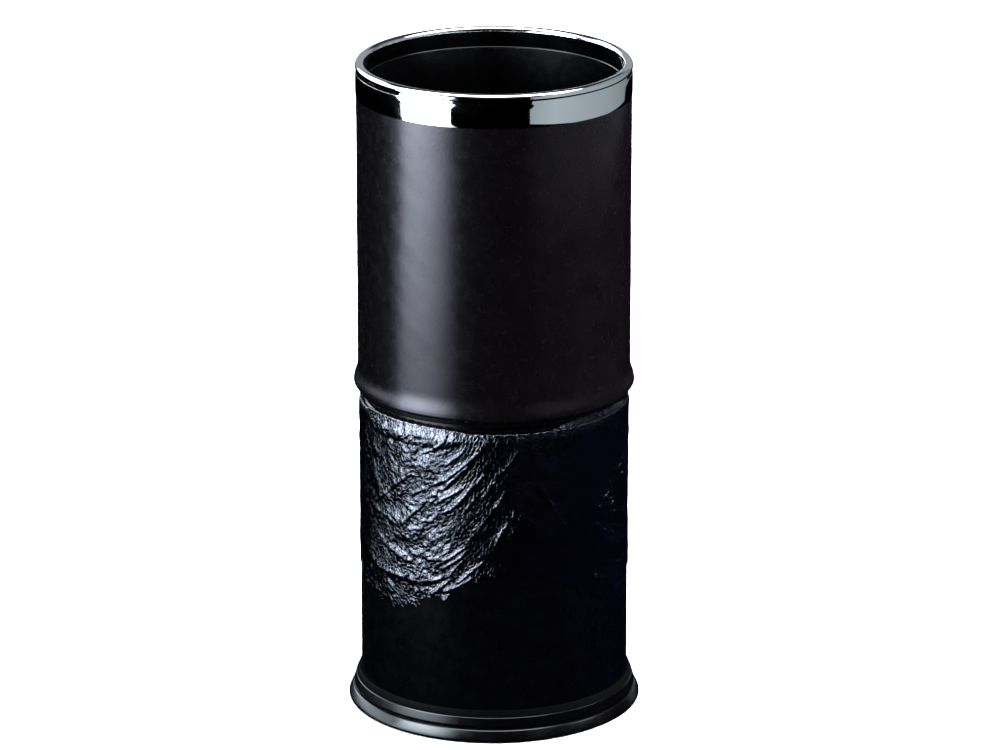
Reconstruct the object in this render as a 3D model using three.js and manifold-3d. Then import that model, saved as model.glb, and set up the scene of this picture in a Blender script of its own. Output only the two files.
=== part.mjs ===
// A round umbrella stand in two stacked sections, in millimetres, +Z up, origin at the centre of
// the floor contact. The lower section is a steel bucket with a folded-over liner bag and a
// moulded base. The upper section is an open leather-covered sleeve with a chrome ring on top.
// It stands in the bucket's mouth on a moulded neck collar, and lifts straight off.
import * as THREE from "three";
import { mergeVertices } from "three/addons/utils/BufferGeometryUtils.js";
import Module from "manifold-3d";

const wasm = await Module();
wasm.setup();

// ---- driving dimensions -------------------------------------------------------------------
const HEIGHT = 604; // floor to the top of the chrome ring
const RING_RADIUS = 124.8; // outside of the chrome ring
const OPENING_RADIUS = 116.2; // clear radius inside the chrome ring
const BAND_HEIGHT = 30.5; // how far the chrome ring reaches down the outside
const SLEEVE_BOTTOM = 297.6; // floor to the lowest edge of the sleeve
const RIM_HEIGHT = 287; // floor to the top of the bucket's rolled rim
const BUCKET_RADIUS = 122.2; // outside of the bucket's shell
const BASE_RADIUS = 134; // widest part of the base
const BASE_HEIGHT = 28.4; // floor to the top of the base ring
const CUFF_BOTTOM = 110; // floor to the lower edge of the bag's folded-down cuff

const CLEARANCE = 0.3; // between pieces that can be taken apart
const BOND = 0.1; // between pieces that are pressed, glued or welded together
const SEGMENTS = 40; // facets round every turned piece, the same on all so that they nest
const FACETS = 8; // round a screw, a rivet or its hole
const FOOT_FACETS = 16;

// ---- wall thicknesses ---------------------------------------------------------------------
const RING_WALL = 0.6;
const LEATHER = 0.9;
const TUBE_WALL = 0.9;
const SHELL_WALL = 1;
const LINER_WALL = 1.4;
const COLLAR_WALL = 2;
const FILM = 0.7; // the crumpled bag film, taken as one even skin

// ---- materials ----------------------------------------------------------------------------
const finish = (color, roughness, metalness) =>
  new THREE.MeshStandardMaterial({ color, roughness, metalness });
const CHROME = finish(0xdfe3e6, 0.05, 1);
const LEATHERETTE = finish(0x17151a, 0.45, 0);
const BLACK_STEEL = finish(0x0a0b0d, 0.35, 0.4);
const BLACK_PLASTIC = finish(0x0b0c0e, 0.4, 0);
const BAG_FILM = finish(0x0c0e14, 0.25, 0);
const BARE_STEEL = finish(0x8d9094, 0.35, 1);
const RUBBER = finish(0x111111, 0.8, 0);

// ---- helpers ------------------------------------------------------------------------------

// A piece of revolution. The outline is [radius, height] points, anticlockwise with the radius
// to the right: closed on itself for a ring, or starting and ending on the axis for a disc.
function turned(outline, segments = SEGMENTS) {
  const onAxis = outline[0][0] === 0;
  const closed = onAxis ? outline : [...outline, outline[0]];
  const points = closed.map(([r, z]) => new THREE.Vector2(r, z));
  return new THREE.LatheGeometry(points, segments).rotateX(Math.PI / 2);
}

// Points on a circular arc in an outline, from one angle in degrees to another, ends included.
function arc([centreR, centreZ], radius, from, to, steps) {
  return Array.from({ length: steps + 1 }, (_, i) => {
    const angle = THREE.MathUtils.degToRad(from + ((to - from) * i) / steps);
    return [centreR + radius * Math.cos(angle), centreZ + radius * Math.sin(angle)];
  });
}

// A disc or round bar on the axis between two heights.
function rod(radius, bottom, top, facets) {
  const bar = new THREE.CylinderGeometry(radius, radius, top - bottom, facets);
  return bar.rotateX(Math.PI / 2).translate(0, 0, (bottom + top) / 2);
}

function toSolid(geometry) {
  const bare = geometry.clone();
  bare.deleteAttribute("normal");
  bare.deleteAttribute("uv");
  const merged = mergeVertices(bare, 1e-3);
  return new wasm.Manifold(
    new wasm.Mesh({
      numProp: 3,
      vertProperties: merged.attributes.position.array,
      triVerts: new Uint32Array(merged.index.array),
    }),
  );
}

function toGeometry(solid) {
  const made = solid.getMesh();
  const geometry = new THREE.BufferGeometry();
  geometry.setAttribute("position", new THREE.BufferAttribute(made.vertProperties, 3));
  geometry.setIndex(new THREE.BufferAttribute(made.triVerts, 1));
  geometry.computeVertexNormals();
  return geometry;
}

// Places spaced evenly round the axis: [x, y] pairs, the first at startDegrees.
function around(count, radius, startDegrees) {
  return Array.from({ length: count }, (_, i) => {
    const angle = THREE.MathUtils.degToRad(startDegrees + (360 * i) / count);
    return [radius * Math.cos(angle), radius * Math.sin(angle)];
  });
}

// The piece with a round hole through it, between the two heights, at each of the places.
function drilled(geometry, places, radius, bottom, top) {
  const overrun = 1;
  const drills = places.map(([x, y]) =>
    toSolid(rod(radius, bottom - overrun, top + overrun, FACETS).translate(x, y, 0)),
  );
  return toGeometry(drills.reduce((left, drill) => left.subtract(drill), toSolid(geometry)));
}

function part(name, geometry, material) {
  const mesh = new THREE.Mesh(geometry, material);
  mesh.name = name;
  return mesh;
}

// A small turned piece that repeats: the same outline at one of the places.
function fastener(name, outline, place, segments, material) {
  const mesh = part(name, turned(outline, segments), material);
  mesh.position.set(place[0], place[1], 0);
  return mesh;
}

// ---- base: foot pads, bottom cover, ballast and moulded skirt -------------------------------
const FEET = around(4, 106, 45);
const FOOT_RADIUS = 9;
const COVER_BOTTOM = 2.4;
const COVER_TOP = 4.4;
const COVER_RADIUS = 118;
const BASE_SCREWS = around(4, 70, 0);
const SCREW_RADIUS = 1.7;
const SCREW_HOLE = 2.1;
const BALLAST_RADIUS = 100;
const BALLAST_BOTTOM = 8.4;
const FLOOR_BOTTOM = 13; // underside of the bucket's floor
const FLOOR_TOP = 14;
const BALLAST_TOP = FLOOR_BOTTOM - BOND;
const LEDGE_INSIDE = 112; // the bucket's shell stands on a ledge inside the base ring
const LEDGE_BOTTOM = COVER_TOP + CLEARANCE;
const LEDGE_TOP = 7.7;

function footPad(place, index) {
  const top = COVER_BOTTOM - BOND;
  const edge = 0.5;
  const outline = [
    [0, 0],
    [FOOT_RADIUS - edge, 0],
    [FOOT_RADIUS, edge],
    [FOOT_RADIUS, top],
    [0, top],
  ];
  return fastener(`foot_pad_${index + 1}`, outline, place, FOOT_FACETS, RUBBER);
}

function baseCover() {
  const disc = rod(COVER_RADIUS, COVER_BOTTOM, COVER_TOP, SEGMENTS);
  const shape = drilled(disc, BASE_SCREWS, SCREW_HOLE, COVER_BOTTOM, COVER_TOP);
  return part("base_cover", shape, BLACK_PLASTIC);
}

function ballastDisc() {
  const disc = rod(BALLAST_RADIUS, BALLAST_BOTTOM, BALLAST_TOP, SEGMENTS);
  const shape = drilled(disc, BASE_SCREWS, SCREW_HOLE, BALLAST_BOTTOM, BALLAST_TOP);
  return part("ballast_disc", shape, BARE_STEEL);
}

// A pan-head screw from below, through the cover and into the ballast.
function baseScrew(place, index) {
  const headRadius = 4;
  const headTop = COVER_BOTTOM - BOND;
  const headBottom = headTop - 1.4;
  const headEdge = 0.7;
  const tip = BALLAST_TOP - 0.4;
  const outline = [
    [0, headBottom],
    [headRadius - headEdge, headBottom],
    [headRadius, headBottom + headEdge],
    [headRadius, headTop],
    [SCREW_RADIUS, headTop],
    [SCREW_RADIUS, tip - SCREW_RADIUS / 2],
    [0, tip],
  ];
  return fastener(`base_screw_${index + 1}`, outline, place, FACETS, BARE_STEEL);
}

// The skirt round the foot of the bucket: a shoulder, a stepped lip and a full roll down to the
// floor outside, a socket and a ledge for the shell inside, and a groove underneath.
function baseRing() {
  const socket = BUCKET_RADIUS + CLEARANCE;
  const coverSeat = COVER_RADIUS + CLEARANCE;
  const bottom = 1; // the foot pads hold the skirt this far off the floor
  const rollRadius = 5;
  const rollCentre = [BASE_RADIUS - rollRadius, bottom + 3];
  const rollFoot = BASE_RADIUS - 1.6;
  const grooveInside = 124;
  const grooveOutside = 129;
  const grooveTop = 12;
  return part(
    "base_ring",
    turned([
      [LEDGE_INSIDE, LEDGE_BOTTOM],
      [coverSeat, LEDGE_BOTTOM],
      [coverSeat, bottom],
      [grooveInside, bottom],
      [grooveInside, grooveTop],
      [grooveInside + 2.5, grooveTop],
      [grooveOutside, grooveTop - 5],
      [grooveOutside, bottom],
      [rollFoot, bottom],
      ...arc(rollCentre, rollRadius, 0, 20, 1),
      [rollFoot, 9.8],
      [BASE_RADIUS - 3.4, 13],
      [BASE_RADIUS - 4, 18.2],
      [BASE_RADIUS - 5.6, 21.2],
      [BASE_RADIUS - 6.6, 24.6],
      [BASE_RADIUS - 8.6, 27],
      [BASE_RADIUS - 10.6, BASE_HEIGHT],
      [socket, BASE_HEIGHT],
      [socket, LEDGE_TOP],
      [LEDGE_INSIDE, LEDGE_TOP],
    ]),
    BLACK_PLASTIC,
  );
}

// ---- bucket -------------------------------------------------------------------------------
const CURL_RADIUS = 2.5; // the rim is rolled inwards round a circle of this radius
const CURL_CENTRE = [BUCKET_RADIUS - CURL_RADIUS, RIM_HEIGHT - CURL_RADIUS];
const CURL_END = 250; // how far the rim is rolled, in degrees from the outside

function bucketShell() {
  const bottom = LEDGE_TOP + BOND;
  return part(
    "bucket_shell",
    turned([
      [BUCKET_RADIUS - SHELL_WALL, bottom],
      [BUCKET_RADIUS, bottom],
      ...arc(CURL_CENTRE, CURL_RADIUS, 0, CURL_END, 5),
      ...arc(CURL_CENTRE, CURL_RADIUS - SHELL_WALL, CURL_END, 0, 4),
    ]),
    BLACK_STEEL,
  );
}

// A pressed disc with its flange turned down, welded inside the shell.
function bucketFloor() {
  const outside = BUCKET_RADIUS - SHELL_WALL - 2 * BOND;
  const flangeBottom = 8.6;
  const corner = 0.5;
  return part(
    "bucket_floor",
    turned([
      [0, FLOOR_BOTTOM],
      [outside - SHELL_WALL, FLOOR_BOTTOM],
      [outside - SHELL_WALL, flangeBottom],
      [outside, flangeBottom],
      [outside, FLOOR_TOP - corner],
      [outside - corner, FLOOR_TOP],
      [0, FLOOR_TOP],
    ]),
    BLACK_STEEL,
  );
}

// The liner bag: a closed bottom, a wall that hangs free inside the bucket, a turn over the
// rolled rim and a cuff folded down the outside.
const BAG_TOP = RIM_HEIGHT + CLEARANCE + FILM;
const BAG_INSIDE = BUCKET_RADIUS - 2 * CURL_RADIUS - CLEARANCE - FILM;

function linerBag() {
  const cuff = BUCKET_RADIUS + CLEARANCE;
  const bottom = FLOOR_TOP + CLEARANCE;
  const turn = CURL_RADIUS + CLEARANCE;
  const chamfer = 14; // the film bridges the corner between the floor and the wall
  const skew = FILM * Math.tan(Math.PI / 8); // shift that keeps the film even at a 45° corner
  return part(
    "liner_bag",
    turned([
      [0, bottom],
      [BAG_INSIDE + FILM - chamfer, bottom],
      [BAG_INSIDE + FILM, bottom + chamfer],
      ...arc(CURL_CENTRE, turn, 180, 0, 4),
      [cuff, CUFF_BOTTOM],
      [cuff + FILM, CUFF_BOTTOM],
      ...arc(CURL_CENTRE, turn + FILM, 0, 180, 4),
      [BAG_INSIDE, bottom + chamfer + skew],
      [BAG_INSIDE + FILM - chamfer - skew, bottom + FILM],
      [0, bottom + FILM],
    ]),
    BAG_FILM,
  );
}

// ---- upper section ------------------------------------------------------------------------
const WRAP_INSIDE = RING_RADIUS - RING_WALL - BOND - LEATHER;
const TUBE_RADIUS = WRAP_INSIDE - BOND; // outside of the sleeve's tube
const HEM_BOTTOM = SLEEVE_BOTTOM + 0.9; // the tube's bottom edge, turned inwards
const HEM_TOP = HEM_BOTTOM + TUBE_WALL;
const HEM_INSIDE = 118;
const FLARE = 3.7; // how far the foot swells out from the wall
const FLARE_TOP = 314.5; // where the straight wall starts to swell
const FLARE_STEPS = 4;
const FLANGE_BOTTOM = HEM_TOP + BOND;
const FLANGE_TOP = FLANGE_BOTTOM + COLLAR_WALL;
const FLANGE_RADIUS = 124.2;
const RIVETS = around(4, 120.8, 45);
const RIVET_RADIUS = 1.5;
const RIVET_HOLE = 1.8;
const LINER_INSIDE = OPENING_RADIUS - 0.8;

// The foot's swelling on a wall of the given radius, from the top down.
function flare(wall) {
  const curve = new THREE.CubicBezierCurve(
    new THREE.Vector2(wall, FLARE_TOP),
    new THREE.Vector2(wall + 0.1, FLARE_TOP - 4),
    new THREE.Vector2(wall + FLARE - 0.1, FLARE_TOP - 5),
    new THREE.Vector2(wall + FLARE, SLEEVE_BOTTOM + 2.6),
  );
  return curve.getPoints(FLARE_STEPS).map((p) => [p.x, p.y]);
}

// Rolled steel tube. Its bottom edge is swelled out and then turned in under the collar's flange.
function sleeveTube() {
  const inside = TUBE_RADIUS - TUBE_WALL;
  const top = HEIGHT - 8;
  const tube = turned([
    [HEM_INSIDE, HEM_BOTTOM],
    [TUBE_RADIUS + FLARE, HEM_BOTTOM],
    ...flare(TUBE_RADIUS).reverse(),
    [TUBE_RADIUS, top],
    [inside, top],
    ...flare(inside),
    [inside + FLARE, HEM_TOP],
    [HEM_INSIDE, HEM_TOP],
  ]);
  const shape = drilled(tube, RIVETS, RIVET_HOLE, HEM_BOTTOM, HEM_TOP);
  return part("sleeve_tube", shape, BLACK_STEEL);
}

// Leatherette glued round the tube: its top edge runs up inside the ring, and its bottom edge
// is drawn over the swelled foot and tucked underneath.
function leatherWrap() {
  const outside = WRAP_INSIDE + LEATHER;
  const top = HEIGHT - 12;
  const tuck = 124;
  const corner = 1.3;
  return part(
    "leather_wrap",
    turned([
      [tuck, SLEEVE_BOTTOM],
      [outside + FLARE - corner, SLEEVE_BOTTOM],
      [outside + FLARE - corner / 4, SLEEVE_BOTTOM + corner * 0.7],
      ...flare(outside).reverse(),
      [outside, top],
      [WRAP_INSIDE, top],
      ...flare(WRAP_INSIDE),
      [WRAP_INSIDE + FLARE, HEM_BOTTOM - BOND],
      [tuck, HEM_BOTTOM - BOND],
    ]),
    LEATHERETTE,
  );
}

// Polished ring of U section: an outer band, a round top and an inner skirt.
const SKIRT_BOTTOM = HEIGHT - 17.8;

function chromeRing() {
  const roll = (RING_RADIUS - OPENING_RADIUS) / 2;
  const rollCentre = [OPENING_RADIUS + roll, HEIGHT - roll];
  const bandBottom = HEIGHT - BAND_HEIGHT;
  return part(
    "chrome_ring",
    turned([
      [RING_RADIUS - RING_WALL, bandBottom],
      [RING_RADIUS, bandBottom],
      ...arc(rollCentre, roll, 0, 180, 6),
      [OPENING_RADIUS, SKIRT_BOTTOM],
      [OPENING_RADIUS + RING_WALL, SKIRT_BOTTOM],
      ...arc(rollCentre, roll - RING_WALL, 180, 0, 4),
    ]),
    CHROME,
  );
}

// Inner wall of the double-walled sleeve. Its top is stepped out to stand behind the ring's
// skirt, and its foot stands on the collar's flange.
function upperLiner() {
  const outside = LINER_INSIDE + LINER_WALL;
  const behindSkirt = OPENING_RADIUS + RING_WALL + CLEARANCE;
  const step = SKIRT_BOTTOM - CLEARANCE;
  const top = HEIGHT - 10;
  const lipEdge = 0.6;
  return part(
    "upper_liner",
    turned([
      [LINER_INSIDE, FLANGE_TOP + BOND],
      [outside, FLANGE_TOP + BOND],
      [outside, step - 2 * LINER_WALL],
      [behindSkirt + LINER_WALL, step - LINER_WALL],
      [behindSkirt + LINER_WALL, top],
      [behindSkirt, top],
      [behindSkirt, step],
      [LINER_INSIDE + lipEdge, step],
      [LINER_INSIDE, step - lipEdge],
    ]),
    BLACK_PLASTIC,
  );
}

// Moulded collar: a flange crimped in the foot of the tube, a lip that locates the liner, a
// shoulder that rests on the bag over the bucket's rim, and a tapered spigot below it.
function neckCollar() {
  const neck = LINER_INSIDE + COLLAR_WALL;
  const spigot = BAG_INSIDE - CLEARANCE;
  const spigotBottom = 250;
  const taper = 3.2; // how much narrower the spigot is at its foot
  const shoulder = BAG_TOP + CLEARANCE;
  const shoulderRadius = 118.8;
  const lipInside = LINER_INSIDE + LINER_WALL + CLEARANCE;
  const lipOutside = lipInside + 1.1;
  const lipTop = FLANGE_TOP + 9;
  const collar = turned([
    [spigot - COLLAR_WALL - taper, spigotBottom],
    [spigot - taper, spigotBottom],
    [spigot, shoulder],
    [shoulderRadius, shoulder],
    [shoulderRadius, shoulder + 1],
    [neck, shoulder + COLLAR_WALL],
    [neck, FLANGE_BOTTOM],
    [FLANGE_RADIUS, FLANGE_BOTTOM],
    [FLANGE_RADIUS, FLANGE_TOP],
    [lipOutside, FLANGE_TOP],
    [lipOutside, lipTop],
    [lipInside, lipTop],
    [lipInside, FLANGE_TOP],
    [LINER_INSIDE, FLANGE_TOP],
    [LINER_INSIDE, shoulder + COLLAR_WALL],
    [spigot - COLLAR_WALL, shoulder],
  ]);
  const shape = drilled(collar, RIVETS, RIVET_HOLE, FLANGE_BOTTOM, FLANGE_TOP);
  return part("neck_collar", shape, BLACK_PLASTIC);
}

// A rivet through the tube's hem and the collar's flange.
function collarRivet(place, index) {
  const headRadius = 2.3;
  const headTop = HEM_BOTTOM - BOND;
  const headHeight = 1.1;
  const tailBottom = FLANGE_TOP + BOND;
  const tailRadius = 2.2;
  const outline = [
    [0, headTop - headHeight],
    [headRadius * 0.7, headTop - headHeight],
    [headRadius, headTop - headHeight / 3],
    [headRadius, headTop],
    [RIVET_RADIUS, headTop],
    [RIVET_RADIUS, tailBottom],
    [tailRadius, tailBottom],
    [tailRadius - 0.3, tailBottom + 1],
    [0, tailBottom + 1],
  ];
  return fastener(`collar_rivet_${index + 1}`, outline, place, FACETS, BARE_STEEL);
}

// ---- assembly -----------------------------------------------------------------------------
const lowerSection = new THREE.Group();
lowerSection.add(
  ...FEET.map(footPad),
  baseCover(),
  ...BASE_SCREWS.map(baseScrew),
  ballastDisc(),
  baseRing(),
  bucketFloor(),
  bucketShell(),
  linerBag(),
);

const upperSection = new THREE.Group();
upperSection.add(
  neckCollar(),
  ...RIVETS.map(collarRivet),
  sleeveTube(),
  leatherWrap(),
  upperLiner(),
  chromeRing(),
);

const umbrellaStand = new THREE.Group();
umbrellaStand.add(lowerSection, upperSection);

export default umbrellaStand;
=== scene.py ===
"""Umbrella stand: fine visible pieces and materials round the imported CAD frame. Metres, +Z up."""
import math

import bpy
import numpy as np
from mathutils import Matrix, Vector


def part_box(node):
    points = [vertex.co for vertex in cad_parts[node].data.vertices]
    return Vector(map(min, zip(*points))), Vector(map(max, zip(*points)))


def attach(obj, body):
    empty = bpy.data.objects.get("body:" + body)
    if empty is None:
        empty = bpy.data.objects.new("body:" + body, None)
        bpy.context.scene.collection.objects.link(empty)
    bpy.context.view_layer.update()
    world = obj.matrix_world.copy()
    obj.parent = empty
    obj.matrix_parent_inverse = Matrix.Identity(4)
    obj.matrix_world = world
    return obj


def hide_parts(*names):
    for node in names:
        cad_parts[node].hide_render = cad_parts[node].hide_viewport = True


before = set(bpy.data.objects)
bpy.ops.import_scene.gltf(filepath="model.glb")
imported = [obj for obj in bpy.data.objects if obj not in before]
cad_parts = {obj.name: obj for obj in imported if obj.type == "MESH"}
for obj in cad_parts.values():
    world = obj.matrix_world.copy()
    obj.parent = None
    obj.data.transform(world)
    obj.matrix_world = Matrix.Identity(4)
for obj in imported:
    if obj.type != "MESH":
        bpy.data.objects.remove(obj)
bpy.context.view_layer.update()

MM = 0.001
FRONT = -math.pi / 2  # azimuth of the side that faces the camera


# ---- sizes taken from the frame -------------------------------------------------------------

def radius_of(node):
    """The outside radius of a CAD node."""
    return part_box(node)[1].x


def bottom_of(node):
    """The height of a CAD node's lowest point."""
    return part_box(node)[0].z


def top_of(node):
    """The height of a CAD node's highest point."""
    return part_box(node)[1].z


HEIGHT = top_of("chrome_ring")
RING_R = radius_of("chrome_ring")
BAND_BOTTOM = bottom_of("chrome_ring")
OPENING_R = RING_R - 8.6 * MM
BEAD_R = radius_of("leather_wrap")
SLEEVE_BOTTOM = bottom_of("leather_wrap")
WRAP_R = RING_R - 0.7 * MM  # the cover's straight wall stands just inside the ring's edge
LINER_R = OPENING_R - 0.8 * MM  # the inside of the sleeve's inner wall
LINER_BOTTOM = bottom_of("upper_liner")
NECK_R = LINER_R + 2.0 * MM  # the collar's waist in the gap between the two sections
BEAD_BOTTOM = SLEEVE_BOTTOM + 5.2 * MM  # where the cover is tucked in under the bead
FOOT_R = BEAD_R - 4.3 * MM  # the tube's short straight foot below the bead
HEM_BOTTOM = SLEEVE_BOTTOM + 0.9 * MM  # the tube's lower edge, turned inwards
FLANGE_TOP = LINER_BOTTOM - 0.1 * MM  # the collar's flange, which lies on that hem
SHELL_R = radius_of("bucket_shell")
RIM_TOP = top_of("bucket_shell")
SHELL_BOTTOM = bottom_of("bucket_shell")
FLOOR_TOP = top_of("bucket_floor")
CUFF_DROP = 177 * MM  # the longest reach of the bag's cuff below the rim
BAG_TOP = top_of("liner_bag")
BASE_R = radius_of("base_ring")
BASE_BOTTOM = bottom_of("base_ring")
BASE_TOP = top_of("base_ring")
COLLAR_BOTTOM = bottom_of("neck_collar")

CURL_R = 2.5 * MM  # the bucket's rim is rolled round this radius
CURL_C = (SHELL_R - CURL_R, RIM_TOP - CURL_R)


# ---- mesh helpers ---------------------------------------------------------------------------

def link(name, mesh):
    """A new object with the mesh, in the scene."""
    obj = bpy.data.objects.new(name, mesh)
    bpy.context.scene.collection.objects.link(obj)
    return obj


def grid_faces(rows, columns, wrap, flip=False):
    """Quads of a rows x columns grid of vertices, its columns joined end to end if wrap."""
    r = np.arange(rows - 1)[:, None]
    c = np.arange(columns if wrap else columns - 1)[None, :]
    n = (c + 1) % columns
    quads = [r * columns + c, r * columns + n, (r + 1) * columns + n, (r + 1) * columns + c]
    faces = np.stack([np.broadcast_to(q, (rows - 1, c.shape[1])) for q in quads], axis=-1)
    faces = faces.reshape(-1, 4)
    return faces[:, ::-1] if flip else faces


def mesh_from(name, points, faces, sharp_degrees=None):
    """A smooth-shaded mesh from an array of points, with edges sharp above an angle."""
    mesh = bpy.data.meshes.new(name)
    mesh.from_pydata(points.reshape(-1, 3).tolist(), [], faces.tolist())
    mesh.validate()
    mesh.polygons.foreach_set("use_smooth", np.ones(len(mesh.polygons), bool))
    if sharp_degrees is not None:
        mesh.set_sharp_from_angle(angle=math.radians(sharp_degrees))
    mesh.update()
    return mesh


def wrapped(angle):
    """The angle brought between -pi and pi."""
    return (angle + math.pi) % (2 * math.pi) - math.pi


def arc(centre, radius, start, end, steps):
    """Points of a circular arc in an outline, start and end in degrees."""
    angles = np.radians(np.linspace(start, end, steps + 1))
    return [(centre[0] + radius * math.cos(a), centre[1] + radius * math.sin(a)) for a in angles]


def curve(points, steps):
    """A smooth Catmull-Rom curve through outline points."""
    pts = [points[0]] + list(points) + [points[-1]]
    out = []
    for a, b, c, d in zip(pts, pts[1:], pts[2:], pts[3:]):
        a, b, c, d = (np.array(p) for p in (a, b, c, d))
        for t in np.arange(steps) / steps:
            out.append(tuple(0.5 * (2 * b + (c - a) * t + (2 * a - 5 * b + 4 * c - d) * t ** 2
                                    + (3 * b - a - 3 * c + d) * t ** 3)))
    out.append(tuple(points[-1]))
    return out


def turned(name, outline, segments=256, sharp_degrees=35):
    """A closed piece of revolution from a closed outline of (radius, height), anticlockwise."""
    ring = np.array(outline)
    around = np.linspace(0, 2 * math.pi, segments, endpoint=False)
    rows = len(ring)
    points = np.zeros((rows + 1, segments, 3))
    closed = np.vstack([ring, ring[:1]])
    points[..., 0] = closed[:, :1] * np.cos(around)
    points[..., 1] = closed[:, :1] * np.sin(around)
    points[..., 2] = closed[:, 1:]
    faces = grid_faces(rows + 1, segments, wrap=True)
    faces = np.where(faces >= rows * segments, faces - rows * segments, faces)
    return link(name, mesh_from(name, points[:rows], faces, sharp_degrees))


def turned_disc(name, outline, place=(0, 0), segments=96, sharp_degrees=35):
    """A closed piece of revolution whose outline starts and ends on the axis."""
    inner = np.array(outline[1:-1])
    around = np.linspace(0, 2 * math.pi, segments, endpoint=False)
    rows = len(inner)
    points = np.zeros((rows, segments, 3))
    points[..., 0] = inner[:, :1] * np.cos(around) + place[0]
    points[..., 1] = inner[:, :1] * np.sin(around) + place[1]
    points[..., 2] = inner[:, 1:]
    poles = np.array([[place[0], place[1], outline[0][1]], [place[0], place[1], outline[-1][1]]])
    verts = np.vstack([points.reshape(-1, 3), poles])
    quads = grid_faces(rows, segments, wrap=True).tolist()
    first, last = len(verts) - 2, len(verts) - 1
    ring = list(range(segments))
    fan = [(first, (i + 1) % segments, i) for i in ring]
    top = (rows - 1) * segments
    fan += [(last, top + i, top + (i + 1) % segments) for i in ring]
    mesh = bpy.data.meshes.new(name)
    mesh.from_pydata(verts.tolist(), [], quads + fan)
    mesh.polygons.foreach_set("use_smooth", np.ones(len(mesh.polygons), bool))
    mesh.set_sharp_from_angle(angle=math.radians(sharp_degrees))
    return link(name, mesh)


# ---- material helpers -----------------------------------------------------------------------

class NodeTree:
    """Short ways to add nodes to a tree."""

    def __init__(self, tree):
        self.tree = tree

    def add(self, kind, inputs=None, **settings):
        """A new node with its settings; each input is a socket to link or a value."""
        node = self.tree.nodes.new(kind)
        for key, value in settings.items():
            setattr(node, key, value)
        for key, value in (inputs or {}).items():
            if isinstance(value, bpy.types.NodeSocket):
                self.tree.links.new(value, node.inputs[key])
            else:
                node.inputs[key].default_value = value
        return node

    def math(self, operation, a, b=0.0):
        """One arithmetic node on one or two values, each a socket or a number."""
        return self.add("ShaderNodeMath", {0: a, 1: b}, operation=operation).outputs[0]


class Nodes(NodeTree):
    """A Principled material and short ways to give it texture."""

    def __init__(self, name, color, roughness, **sockets):
        self.mat = bpy.data.materials.new(name)
        self.mat.use_nodes = True
        super().__init__(self.mat.node_tree)
        self.shader = self.tree.nodes["Principled BSDF"]
        self.shader.inputs["Base Color"].default_value = (*color, 1)
        self.shader.inputs["Roughness"].default_value = roughness
        for socket, value in sockets.items():
            self.shader.inputs[socket.replace("_", " ")].default_value = value
        self.coords = self.tree.nodes.new("ShaderNodeTexCoord").outputs["Object"]
        self.normal = None

    def stretched(self, rotation, lengths):
        """Coordinates turned and then stretched, so that patterns grow by lengths on each axis."""
        mapping = self.add("ShaderNodeMapping", {"Vector": self.coords}, vector_type="TEXTURE")
        mapping.inputs["Rotation"].default_value = rotation
        mapping.inputs["Scale"].default_value = lengths
        return mapping.outputs["Vector"]

    def noise(self, scale, detail=3.0, roughness=0.55, vector=None, distortion=0.0):
        inputs = {"Vector": vector or self.coords, "Scale": scale, "Detail": detail,
                  "Roughness": roughness, "Distortion": distortion}
        return self.add("ShaderNodeTexNoise", inputs).outputs["Fac"]

    def cells(self, scale, feature="F1", randomness=1.0, vector=None):
        inputs = {"Vector": vector or self.coords, "Scale": scale, "Randomness": randomness}
        return self.add("ShaderNodeTexVoronoi", inputs, feature=feature).outputs["Distance"]

    def ramp(self, value, stops):
        """value through a ramp of (position, grey or colour) stops."""
        node = self.add("ShaderNodeValToRGB", {"Fac": value})
        elements = node.color_ramp.elements
        while len(elements) < len(stops):
            elements.new(0.5)
        for element, (position, color) in zip(elements, stops):
            element.position = position
            rgb = color if isinstance(color, tuple) else (color, color, color)
            element.color = (*rgb, 1)
        return node.outputs["Color"]

    def map_range(self, value, low, high, to_low, to_high):
        inputs = {"Value": value, "From Min": low, "From Max": high, "To Min": to_low,
                  "To Max": to_high}
        return self.add("ShaderNodeMapRange", inputs).outputs["Result"]

    def bump(self, height, distance, strength=1.0):
        """One more layer of relief, on top of the layers before it."""
        inputs = {"Height": height, "Distance": distance, "Strength": strength}
        if self.normal is not None:
            inputs["Normal"] = self.normal
        self.normal = self.add("ShaderNodeBump", inputs).outputs["Normal"]
        self.tree.links.new(self.normal, self.shader.inputs["Normal"])

    def drive(self, socket, value):
        self.tree.links.new(value, self.shader.inputs[socket])


def chrome_material():
    """Polished chrome: a faint haze, hairlines and slow waviness."""
    n = Nodes("chrome", (0.86, 0.875, 0.885), 0.045, Metallic=1.0)
    haze = n.noise(55, detail=4)
    hairlines = n.noise(260, detail=2, vector=n.stretched((0, 0, 0.4), (1, 1, 0.11)))
    n.drive("Roughness", n.map_range(haze, 0.35, 0.75, 0.03, 0.075))
    n.bump(hairlines, 0.0000012)
    n.bump(n.noise(14, detail=1), 0.000012)
    return n.mat


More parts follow.
